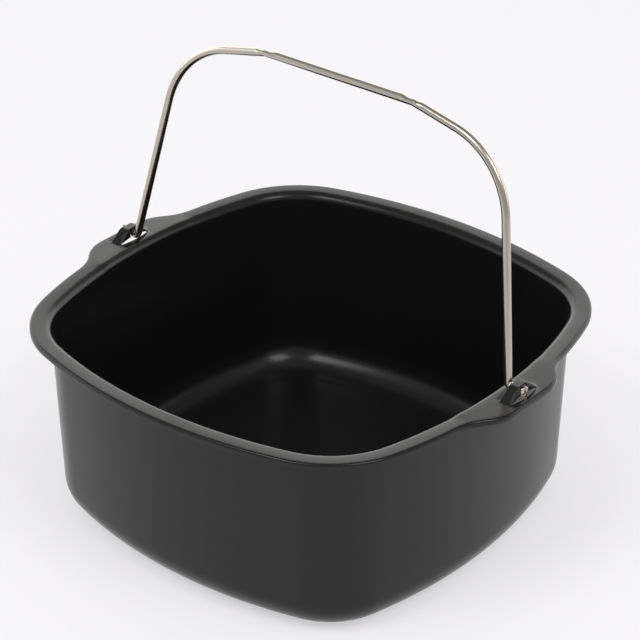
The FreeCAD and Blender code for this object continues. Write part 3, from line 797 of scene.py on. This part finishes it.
def noise(tree, source, scale, detail, stretch=(1.0, 1.0, 1.0)):
    mapping = add_node(tree, "ShaderNodeMapping")
    mapping.inputs["Scale"].default_value = stretch
    tree.links.new(source, mapping.inputs["Vector"])
    texture = add_node(tree, "ShaderNodeTexNoise")
    texture.inputs["Scale"].default_value = scale
    texture.inputs["Detail"].default_value = detail
    tree.links.new(mapping.outputs["Vector"], texture.inputs["Vector"])
    return texture.outputs["Fac"]


def spread(tree, source, low, high):
    """Maps a noise, which lies mostly between 0.3 and 0.7, onto a range."""
    node = add_node(tree, "ShaderNodeMapRange")
    node.inputs["From Min"].default_value = 0.3
    node.inputs["From Max"].default_value = 0.7
    node.inputs["To Min"].default_value = low
    node.inputs["To Max"].default_value = high
    tree.links.new(source, node.inputs["Value"])
    return node.outputs["Result"]


def set_sum(tree, first, second, socket):
    """Links the sum of two outputs to a socket."""
    total = add_node(tree, "ShaderNodeMath", operation="ADD")
    tree.links.new(first, total.inputs[0])
    tree.links.new(second, total.inputs[1])
    tree.links.new(total.outputs["Value"], socket)


# %% The coat
GRAIN, CLOUD = 1600.0, 14.0             # cells to the metre
coat, tree, shader = new_material("black_coat")
place = add_node(tree, "ShaderNodeTexCoord").outputs["Object"]
shader.inputs["Base Color"].default_value = (0.0075, 0.0075, 0.0073, 1.0)
shader.inputs["IOR"].default_value = 1.38
grain = noise(tree, place, GRAIN, 2.0)
cloud = noise(tree, place, CLOUD, 3.0)
set_sum(tree, spread(tree, grain, 0.10, 0.14), spread(tree, cloud, 0.10, 0.13),
        shader.inputs["Roughness"])
bump = add_node(tree, "ShaderNodeBump")
bump.inputs["Strength"].default_value = 0.12
bump.inputs["Distance"].default_value = 0.00002
tree.links.new(grain, bump.inputs["Height"])
tree.links.new(bump.outputs["Normal"], shader.inputs["Normal"])
pan.data.materials.clear()
pan.data.materials.append(coat)

# %% The plated wire
DRAWN, PATCHES = 900.0, 60.0            # cells to the metre, round the wire
LINES_RUN = 0.03                        # share of that along it, which draws cells into lines
plated, tree, shader = new_material("plated_wire")
place = add_node(tree, "ShaderNodeAttribute", attribute_name="along_wire").outputs["Vector"]
shader.inputs["Metallic"].default_value = 1.0
shader.inputs["Base Color"].default_value = (0.50, 0.46, 0.41, 1.0)
drawn = noise(tree, place, DRAWN, 2.0, (1.0, 1.0, LINES_RUN))
cloud = noise(tree, place, PATCHES, 2.0)
set_sum(tree, spread(tree, drawn, 0.10, 0.16), spread(tree, cloud, 0.09, 0.12),
        shader.inputs["Roughness"])
bail.data.materials.clear()
bail.data.materials.append(plated)

# %% [markdown]
# ## Floor, light and camera
#
# The pan stands on a pale floor in a white room, under two soft lamps. Black lacquer and
# bright wire have hardly a colour of their own and show the room instead, so its far wall is
# bright up to about 30 degrees, and its ceiling and near side are dim. The edges of these draw
# the fine light and dark lines along the rim. What only scatters light, such as the floor,
# sees an even white room. The floor is lit as any surface, and partly shines by itself for the
# eye and for gloss, so that it stays pale under the shadow of the pan.

# %% Floor
GROUND = 12.0
GLOW = 0.52                # share of the floor that shines by itself

deselect()
bpy.ops.mesh.primitive_plane_add(size=GROUND)
ground = bpy.context.object
ground.name = "floor"
paper, tree, shader = new_material("pale_floor")
shader.inputs["Base Color"].default_value = (0.935, 0.925, 0.94, 1.0)
shader.inputs["Roughness"].default_value = 0.9
shader.inputs["Specular IOR Level"].default_value = 0.0
glow = add_node(tree, "ShaderNodeEmission")
glow.inputs["Color"].default_value = (0.99, 0.975, 1.0, 1.0)
seen = add_node(tree, "ShaderNodeLightPath")
total = seen.outputs["Is Camera Ray"]
for kind in ("Is Glossy Ray", "Is Transmission Ray"):
    joined = add_node(tree, "ShaderNodeMath", operation="MAXIMUM")
    tree.links.new(total, joined.inputs[0])
    tree.links.new(seen.outputs[kind], joined.inputs[1])
    total = joined.outputs["Value"]
part_of = add_node(tree, "ShaderNodeMath", operation="MULTIPLY")
tree.links.new(total, part_of.inputs[0])
part_of.inputs[1].default_value = GLOW
blend = add_node(tree, "ShaderNodeMixShader")
tree.links.new(part_of.outputs["Value"], blend.inputs[0])
tree.links.new(shader.outputs["BSDF"], blend.inputs[1])
tree.links.new(glow.outputs["Emission"], blend.inputs[2])
tree.links.new(blend.outputs["Shader"], tree.nodes["Material Output"].inputs["Surface"])
ground.data.materials.append(paper)

# %% The room
EVEN = 0.74                # strength that scattering surfaces see
WALLS = 2.2                # what gloss sees low down on the far side
NEAR_SIDE = 0.50           # what gloss sees on the near side
FAR_WAY = (-0.633, 0.774, 0.0)          # across the room, away from the eye
NEAR_ENDS, FAR_STARTS = -0.35, 0.25     # between these one side turns into the other
CEILING = 0.34             # what gloss sees high up
WALLS_END, CEILING_STARTS = 0.50, 0.64  # as heights on a ball of radius 1

world = bpy.data.worlds.new("white_room")
bpy.context.scene.world = world
world.use_nodes = True
world.cycles.sampling_method = "NONE"
tree = world.node_tree
sky = tree.nodes["Background"]
sky.inputs["Color"].default_value = (1.0, 0.995, 0.985, 1.0)
way = add_node(tree, "ShaderNodeTexCoord").outputs["Generated"]
split = add_node(tree, "ShaderNodeSeparateXYZ")
tree.links.new(way, split.inputs["Vector"])
ramp = add_node(tree, "ShaderNodeMapRange", interpolation_type="SMOOTHSTEP")
for name, value in (("From Min", WALLS_END), ("From Max", CEILING_STARTS),
                    ("To Min", WALLS), ("To Max", CEILING)):
    ramp.inputs[name].default_value = value
tree.links.new(split.outputs["Z"], ramp.inputs["Value"])
facing = add_node(tree, "ShaderNodeVectorMath", operation="DOT_PRODUCT")
facing.inputs[1].default_value = FAR_WAY
tree.links.new(way, facing.inputs[0])
far_side = add_node(tree, "ShaderNodeMapRange", interpolation_type="SMOOTHSTEP")
for name, value in (("From Min", NEAR_ENDS), ("From Max", FAR_STARTS),
                    ("To Min", 0.0), ("To Max", 1.0)):
    far_side.inputs[name].default_value = value
tree.links.new(facing.outputs["Value"], far_side.inputs["Value"])
rays = add_node(tree, "ShaderNodeLightPath")
shiny = add_node(tree, "ShaderNodeMath", operation="ADD")
tree.links.new(rays.outputs["Is Glossy Ray"], shiny.inputs[0])
tree.links.new(rays.outputs["Is Transmission Ray"], shiny.inputs[1])


def choose(share, low, high):
    """Mixes two strengths; each is a number or the output of a node."""
    node = add_node(tree, "ShaderNodeMix", data_type="FLOAT")
    tree.links.new(share, node.inputs["Factor"])
    for name, value in (("A", low), ("B", high)):
        if isinstance(value, float):
            node.inputs[name].default_value = value
        else:
            tree.links.new(value, node.inputs[name])
    return node.outputs["Result"]


room = choose(far_side.outputs["Result"], NEAR_SIDE, ramp.outputs["Result"])
lit = choose(shiny.outputs["Value"], EVEN, room)
tree.links.new(choose(rays.outputs["Is Camera Ray"], lit, 1.0), sky.inputs["Strength"])

# %% Two soft lamps
LAMP_AWAY = 1.5
AIMED_AT = 0.05            # height of the point that both look at


def soft_lamp(name, way, size, radiance):
    """A square lamp that looks at the pan; its brightness is given as the eye sees it."""
    data = bpy.data.lights.new(name, "AREA")
    data.shape = "SQUARE"
    data.size = size
    data.energy = radiance * math.pi * size ** 2
    lamp = bpy.data.objects.new(name, data)
    bpy.context.scene.collection.objects.link(lamp)
    way = Vector(way).normalized()
    lamp.location = way * LAMP_AWAY + Vector((0.0, 0.0, AIMED_AT))
    lamp.rotation_euler = (-way).to_track_quat("-Z", "Y").to_euler()
    print(name, "%.1f W" % data.energy)


soft_lamp("lamp_left", (-0.10, -0.62, 0.78), 0.55, 5.0)
soft_lamp("lamp_right", (0.63, -0.12, 0.77), 0.55, 5.0)

# %% Camera at the photograph's angle
AZIMUTH, ELEVATION = math.radians(39.26), math.radians(29.957)
DISTANCE = 1.0842
TARGET = Vector((-0.0574, 0.0753, 0.0304))
LENS = 129.95

camera_data = bpy.data.cameras.new("camera")
camera = bpy.data.objects.new("camera", camera_data)
bpy.context.scene.collection.objects.link(camera)
camera_data.lens = LENS
camera_data.sensor_width = 36.0
camera_data.clip_start = 0.01
back = Vector((math.sin(AZIMUTH) * math.cos(ELEVATION), -math.cos(AZIMUTH) * math.cos(ELEVATION),
               math.sin(ELEVATION)))
camera.location = TARGET + back * DISTANCE
camera.rotation_mode = "QUATERNION"
camera.rotation_quaternion = (-back).to_track_quat("-Z", "Y")
bpy.context.scene.camera = camera

bpy.context.scene.view_settings.view_transform = "Standard"
